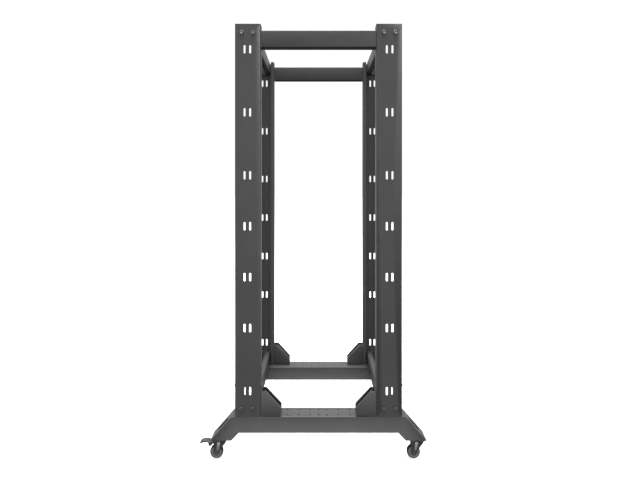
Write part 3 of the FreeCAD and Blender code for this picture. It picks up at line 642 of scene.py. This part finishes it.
def tyre(corner):
    """Stands for a tyre: a tread with two grooves, round shoulders and a step for the hub's flange."""
    seat = 0.0171
    step = 0.0199
    half = [
        (seat, 0.0079), (step - 0.0002, 0.0079), (step, 0.0081), (step + 0.0001, 0.0091),
        (step + 0.0005, 0.0095), (0.0216, 0.0093), (0.0230, 0.0084), (0.0241, 0.0070),
        (0.0247, 0.0052), (0.0249, 0.0040), (0.0243, 0.0037), (0.0243, 0.0032),
        (WHEEL_RADIUS, 0.0029), (WHEEL_RADIUS, 0.0005),
    ]
    bm = bmesh.new()
    turned_ring(bm, axle_frame(corner), mirrored(half), 96)
    piece = new_piece(corner + "_moulded_tyre", bm, "tyre_rubber", corner + "_wheel", 30)
    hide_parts(corner + "_tyre")


HUB_RIBS = 8


def hub(corner):
    """Stands for a wheel hub: a dished disc, a flange over the tyre, ribs on both sides and a boss."""
    boss = 0.0068
    rim = 0.0140
    flange = 0.0197
    web = 0.0035
    half = [
        (0.0031, 0.0108), (boss - 0.0006, 0.0108), (boss, 0.0102), (boss + 0.0003, web + 0.0008),
        (boss + 0.0012, web), (rim - 0.0012, web), (rim - 0.0002, web + 0.0009),
        (rim + 0.0003, 0.0086), (rim + 0.0009, 0.0092), (flange - 0.0005, 0.0092),
        (flange, 0.0088), (flange, 0.0080), (0.0170, 0.0078),
    ]
    matrix = axle_frame(corner)
    bm = bmesh.new()
    turned_ring(bm, matrix, mirrored(half), 72)
    for side in (-1, 1):
        foot = side * (web - 0.0004)
        top = side * 0.0074
        crest = (
            (boss - 0.0004, top + side * 0.001), (0.0103, top - side * 0.0008), (rim + 0.0004, top),
        )
        rows = []
        for reach, height in crest:
            section = ((-0.0009, foot), (-0.0006, height), (0.0006, height), (0.0009, foot))
            rows.append([(reach, across, z) for across, z in section])
        for index in range(HUB_RIBS):
            turn = matrix @ Matrix.Rotation(math.tau / HUB_RIBS * index + 0.2, 4, "Z")
            loft(bm, turn, rows)
    piece = new_piece(corner + "_ribbed_hub", bm, "wheel_plastic", corner + "_wheel", 35)
    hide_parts(corner + "_wheel_hub")


# the pedal's middle line in its caster's frame: (x, height of the top, half width, depth of the skirts)
PEDAL_LINE = [
    (-0.0756, 0.0592, 0.0112, 0.0030), (-0.0735, 0.0620, 0.0124, 0.0042),
    (-0.0690, 0.0652, 0.0129, 0.0050), (-0.0630, 0.0676, 0.0130, 0.0055),
    (-0.0560, 0.0689, 0.0130, 0.0058), (-0.0490, 0.0689, 0.0130, 0.0058),
    (-0.0430, 0.0677, 0.0130, 0.0058), (-0.0380, 0.0659, 0.0129, 0.0055),
    (-0.0330, 0.0640, 0.0124, 0.0052), (-0.0285, 0.0632, 0.0108, 0.0052),
    (-0.0240, 0.0634, 0.0100, 0.0056), (-0.0180, 0.0640, 0.0100, 0.0056),
    (-0.0120, 0.0644, 0.0100, 0.0050),
]
PEDAL_WALL = 0.0026
PEDAL_CROWN = 0.0007
PEDAL_ROUND = 0.0016
GRIP_RIDGES = 6
GRIP_PITCH = 0.0046
GRIP_HALF_WIDTH = 0.0098
SHOE_HALF_WIDTH = 0.0075
SHOE_GAP = 0.0056


def pedal_row(x, top, half, skirt):
    """The shell's section at x: over the outside from left to right, then back along the inside."""
    edge = top - PEDAL_CROWN
    inner = half - PEDAL_WALL
    right = [
        (half * 0.5, top - PEDAL_CROWN * 0.25),
        (half - PEDAL_ROUND, edge),
        (half - PEDAL_ROUND * 0.3, edge - PEDAL_ROUND * 0.35),
        (half, edge - PEDAL_ROUND),
        (half, edge - skirt),
    ]
    left = [(-y, z) for y, z in reversed(right)]
    under = top - PEDAL_WALL
    inside = [(inner, edge - skirt), (inner, under), (-inner, under), (-inner, edge - skirt)]
    return [(x, y, z) for y, z in left + [(0, top)] + right + inside]


def pedal(corner):
    """Stands for a brake pedal: an arched shell with skirts, its grip ridges, pin barrel and shoe."""
    matrix = caster_frame(corner)
    bm = bmesh.new()
    loft(bm, matrix, [pedal_row(*place) for place in PEDAL_LINE])
    for index in range(GRIP_RIDGES):
        x = -0.0690 + GRIP_PITCH * index
        lift = 0.0648 + 0.0036 * math.sin(math.pi / 2 * min(1.0, (index + 1) / 5))
        section = [
            (x - 0.0011, lift - 0.0010), (x - 0.0005, lift + 0.0009),
            (x + 0.0005, lift + 0.0010), (x + 0.0012, lift - 0.0010),
        ]
        ends = (-GRIP_HALF_WIDTH, GRIP_HALF_WIDTH)
        loft(bm, matrix, [[(along, y, z) for along, z in section] for y in ends])
    pin = JOINTS[corner + "_brake_press"]
    pin_place = Matrix.Translation(matrix.inverted() @ pin)
    barrel = matrix @ pin_place @ Matrix.Rotation(math.radians(90), 4, "X")
    turned_ring(bm, barrel, mirrored([(0.00205, 0.0103), (0.0040, 0.0103), (0.0046, 0.0097)]), 32)
    shoe_radius = WHEEL_RADIUS + SHOE_GAP
    shoe = []
    for y in (-SHOE_HALF_WIDTH, SHOE_HALF_WIDTH):
        row = [(-0.0440, y, 0.0660), (-0.0435, y, 0.0500), (-0.0415, y, 0.0466)]
        for degrees in (41.5, 47, 52, 57, 61):
            turn = math.radians(degrees)
            x = -TRAIL - shoe_radius * math.cos(turn)
            row.append((x, y, WHEEL_RADIUS + shoe_radius * math.sin(turn)))
        row.append((-0.0275, y, 0.0612))
        shoe.append(row)
    loft(bm, matrix, shoe)
    piece = new_piece(corner + "_moulded_pedal", bm, "pedal_plastic", corner + "_pedal", 40)
    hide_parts(corner + "_brake_pedal")


for corner in CORNERS:
    fork(corner)
    axle(corner)
    tyre(corner)
    hub(corner)
for corner in BRAKED:
    pedal(corner)


# ---------------------------------------------------------------- floor, light and camera
def white_floor():
    n = Nodes("floor")
    base = n.mix(n.spread(n.noise(2, 2), 0.3, 0.7), grey(0.86), grey(0.88))
    n.shader.inputs["Emission Color"].default_value = (1, 1, 1, 1)
    return n.finish(Base_Color=base, Roughness=0.7, Emission_Strength=0.60)


FLOOR_HALF = 60.0
floor_mesh = bpy.data.meshes.new("floor")
floor_corners = [(-1, -1), (1, -1), (1, 1), (-1, 1)]
floor_points = [(x * FLOOR_HALF, y * FLOOR_HALF, 0) for x, y in floor_corners]
floor_mesh.from_pydata(floor_points, [], [(0, 1, 2, 3)])
floor = bpy.data.objects.new("floor", floor_mesh)
floor_mesh.materials.append(white_floor())
scene.collection.objects.link(floor)
floor.visible_diffuse = False
floor.visible_glossy = False

# the sky darkens towards the floor, and is plain white where the camera sees it
world = bpy.data.worlds.new("studio")
scene.world = world
world.use_nodes = True
sky = world.node_tree
direction = sky.nodes.new("ShaderNodeTexCoord").outputs["Generated"]
height = sky.nodes.new("ShaderNodeSeparateXYZ")
sky.links.new(direction, height.inputs[0])
ramp = sky.nodes.new("ShaderNodeMapRange")
ramp.inputs["From Min"].default_value = -0.85
ramp.inputs["From Max"].default_value = -0.10
ramp.inputs["To Min"].default_value = 0.06
ramp.inputs["To Max"].default_value = 0.86
sky.links.new(height.outputs["Z"], ramp.inputs["Value"])
seen = sky.nodes.new("ShaderNodeLightPath").outputs["Is Camera Ray"]
strength = sky.nodes.new("ShaderNodeMix")
sky.links.new(seen, strength.inputs["Factor"])
sky.links.new(ramp.outputs[0], strength.inputs["A"])
strength.inputs["B"].default_value = 1.05
sky.links.new(strength.outputs[0], sky.nodes["Background"].inputs["Strength"])
sky.nodes["Background"].inputs["Color"].default_value = (1, 1, 1, 1)


def softbox(name, place, aim, wide, high, power):
    """A rectangular light, in metres and watts, that faces its aim."""
    light = bpy.data.lights.new(name, "AREA")
    light.shape = "RECTANGLE"
    light.size = wide
    light.size_y = high
    light.energy = power
    lamp = bpy.data.objects.new(name, light)
    lamp.location = place
    lamp.rotation_euler = (Vector(aim) - Vector(place)).to_track_quat("-Z", "Y").to_euler()
    scene.collection.objects.link(lamp)


softbox("top_light", (0, 0.1, 9), (0, 0.1, 0), wide=6.5, high=6.5, power=1750)
softbox("front_light", (0, -7, 1.5), (0, 0, 0.9), wide=1.5, high=3.2, power=40)

# the view, in metres, where it meets the near posts' face; its centre is measured from the eye
SENSOR_WIDTH = 36
NEAR_FACE = -0.265
DISTANCE = 1.64
VIEW_WIDTH = 2.3552
EYE_HEIGHT = 1.002432
CENTRE_RIGHT = 0.00552
CENTRE_UP = -0.18216
camera_data = bpy.data.cameras.new("camera")
camera = bpy.data.objects.new("camera", camera_data)
camera_data.sensor_width = SENSOR_WIDTH
camera_data.lens = DISTANCE / VIEW_WIDTH * SENSOR_WIDTH
camera.location = (0, NEAR_FACE - DISTANCE, EYE_HEIGHT)
camera.rotation_euler = (math.radians(90), 0, 0)
camera_data.shift_x = CENTRE_RIGHT / VIEW_WIDTH
camera_data.shift_y = CENTRE_UP / VIEW_WIDTH
camera_data.clip_start = 0.05
camera_data.clip_end = 60
scene.collection.objects.link(camera)
scene.camera = camera
